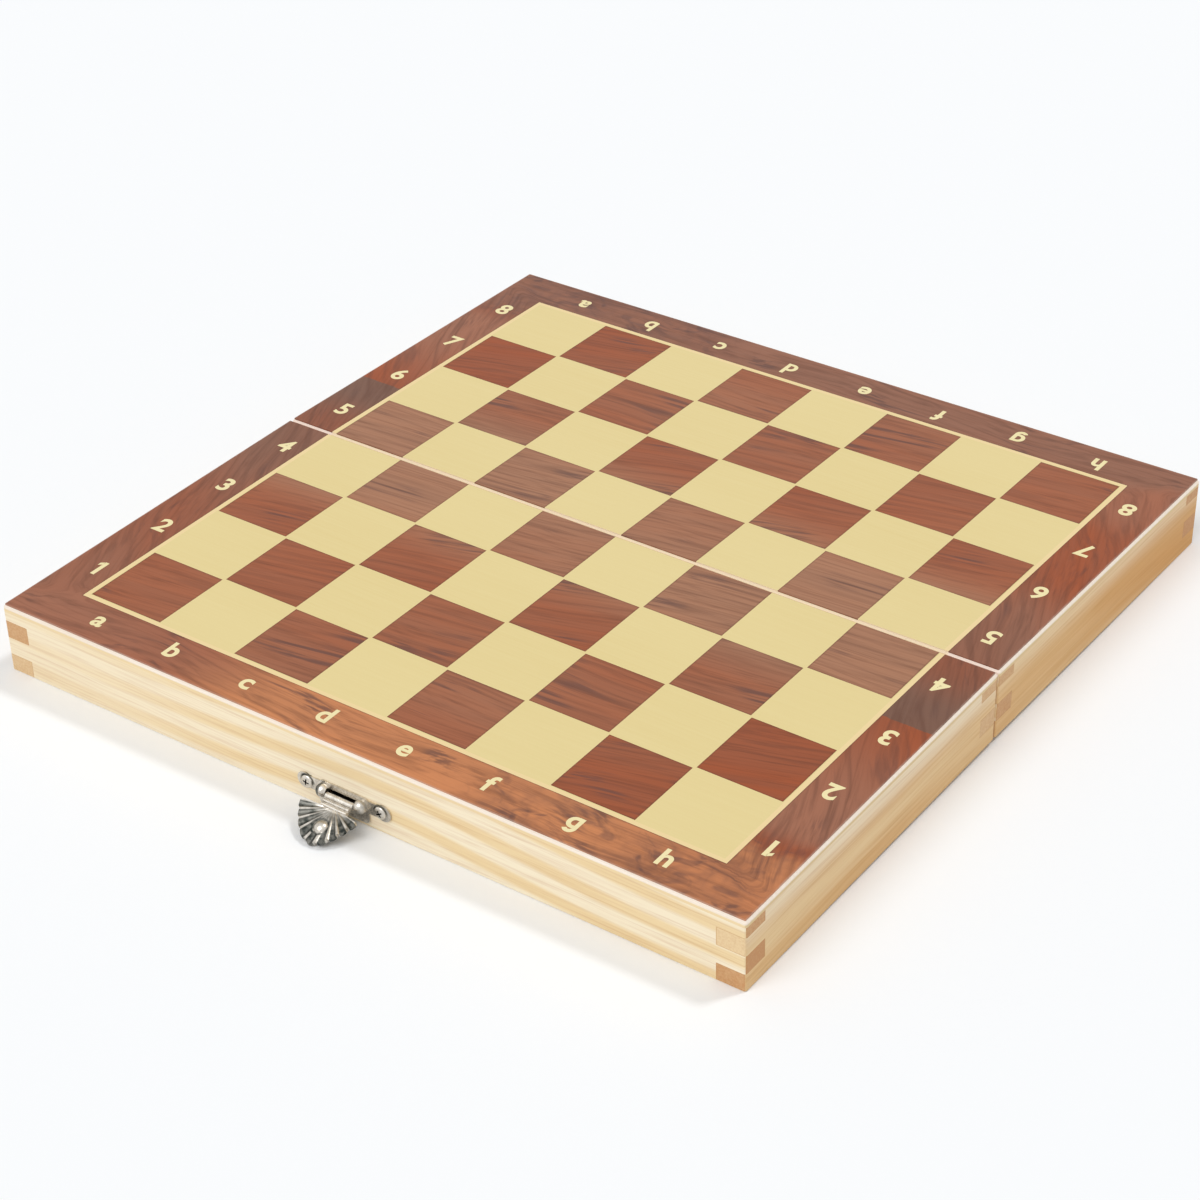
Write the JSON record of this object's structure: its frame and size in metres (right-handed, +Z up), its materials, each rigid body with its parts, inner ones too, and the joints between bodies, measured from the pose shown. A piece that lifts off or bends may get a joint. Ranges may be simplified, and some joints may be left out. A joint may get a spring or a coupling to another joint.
{
  "type": "folding chess board",
  "caption": "Folding wooden chess board: two finger-jointed half boxes with the playing surface outside, hinged along the middle and closed by a fan-shaped clasp on the front.",
  "frame": {"origin": "on the table, straight below the middle of the fold line of the open board", "axes": "+X along the fold from file a to file h, +Y across the fold from the first rank and the clasp to the eighth rank, +Z up through the playing surface"},
  "size_m": [0.29, 0.311, 0.0275],
  "materials": {
    "pine": "clear satin lacquer on pale softwood",
    "panel_board": "pale board, sanded edge",
    "border_veneer": "figured rosewood-brown film, satin lacquer",
    "light_veneer": "cream-yellow film, satin lacquer",
    "dark_veneer": "red-brown grained film, satin lacquer",
    "hinge_brass": "plain brass",
    "pin_steel": "plain steel wire",
    "nickel": "aged nickel plate"
  },
  "bodies": {
    "front_half": {"front_left_rail": "pine", "front_right_rail": "pine", "front_hinge_rail": "pine", "clasp_rail": "pine", "front_panel": "panel_board", "front_border_film": "border_veneer", "front_light_film": "light_veneer", "front_dark_squares": "dark_veneer", "left_hinge_front_leaf": "hinge_brass", "right_hinge_front_leaf": "hinge_brass", "left_hinge_pin": "pin_steel", "right_hinge_pin": "pin_steel", "front_hinge_screws": "hinge_brass", "clasp_plate": "nickel", "clasp_screws": "nickel", "clasp_pin": "pin_steel"},
    "rear_half": {"rear_left_rail": "pine", "rear_right_rail": "pine", "rear_hinge_rail": "pine", "catch_rail": "pine", "rear_panel": "panel_board", "rear_border_film": "border_veneer", "rear_light_film": "light_veneer", "rear_dark_squares": "dark_veneer", "left_hinge_rear_leaf": "hinge_brass", "right_hinge_rear_leaf": "hinge_brass", "rear_hinge_screws": "hinge_brass", "catch_plate": "nickel", "catch_stud": "nickel", "catch_screws": "nickel"},
    "clasp_fan": {"clasp_fan": "nickel"}
  },
  "joints": [
    {"name": "board_fold", "type": "hinge", "parent": "front_half", "child": "rear_half", "pos_m": [0, 0, 0.00135], "axis": [-1, 0, 0], "range_deg": [-1.18, 178.81]},
    {"name": "clasp_swing", "type": "hinge", "parent": "front_half", "child": "clasp_fan", "pos_m": [-0.0009, -0.14727, 0.00738], "axis": [1, 0, 0], "range_deg": [-100, 66.97]}
  ]
}
